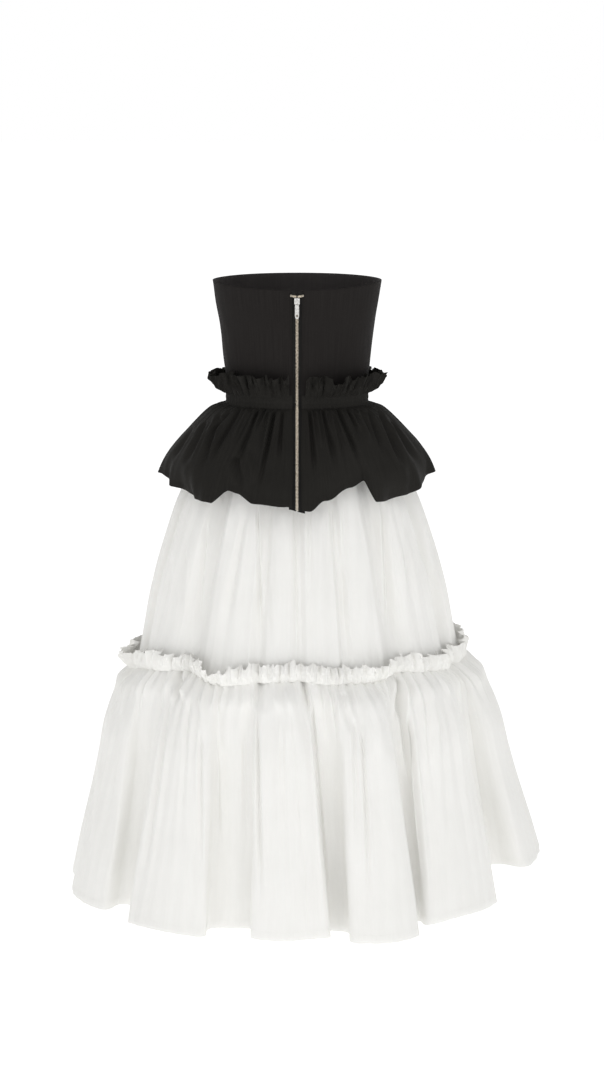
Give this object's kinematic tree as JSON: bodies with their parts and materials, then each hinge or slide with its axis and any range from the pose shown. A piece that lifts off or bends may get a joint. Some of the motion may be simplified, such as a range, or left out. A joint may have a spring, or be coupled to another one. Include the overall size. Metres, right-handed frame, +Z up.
{
  "type": "midi dress",
  "caption": "Strapless dress with a fitted black bodice and peplum over an ivory skirt in two gathered tiers, with an exposed zip down the centre back.",
  "frame": {"origin": "middle of the waist opening, where the wearer's waist holds the dress", "axes": "+Z up, -Y the garment's front, +Y its back with the zip, +X the wearer's left"},
  "size_m": [0.8853, 0.7912, 1.135],
  "materials": {
    "black_cloth": "woven slub cloth, matt, off-black",
    "black_peplum_cloth": "matt off-black cloth, gathered",
    "ivory_cloth": "matt ivory cloth",
    "zip_tape_cloth": "woven black tape",
    "zip_metal": "dull nickel teeth",
    "bright_metal": "bright plated"
  },
  "bodies": {
    "dress": {"bodice_back_left": "black_cloth", "bodice_back_right": "black_cloth", "bodice_front_right": "black_cloth", "bodice_front_centre": "black_cloth", "bodice_front_left": "black_cloth", "waist_band": "black_peplum_cloth", "waist_ruffle": "black_peplum_cloth", "peplum_back_left": "black_peplum_cloth", "peplum_back_right": "black_peplum_cloth", "peplum_front": "black_peplum_cloth", "upper_tier_back_left": "ivory_cloth", "upper_tier_back_right": "ivory_cloth", "upper_tier_front": "ivory_cloth", "lower_tier_back_left": "ivory_cloth", "lower_tier_back_right": "ivory_cloth", "lower_tier_front_right": "ivory_cloth", "lower_tier_front_left": "ivory_cloth", "tier_ruffle_back": "ivory_cloth", "tier_ruffle_front": "ivory_cloth", "zip_tape_left": "zip_tape_cloth", "zip_tape_right": "zip_tape_cloth", "zip_chain": "zip_metal", "zip_end_left": "zip_metal", "zip_end_right": "zip_metal", "zip_slider": "bright_metal"},
    "pull": {"zip_pull": "bright_metal"}
  },
  "joints": [
    {"name": "pull_hinge", "type": "hinge", "parent": "dress", "child": "pull", "pos_m": [0, 0.1024, 0.19193], "axis": [1, 0, 0], "range_deg": [-4, 160]}
  ]
}
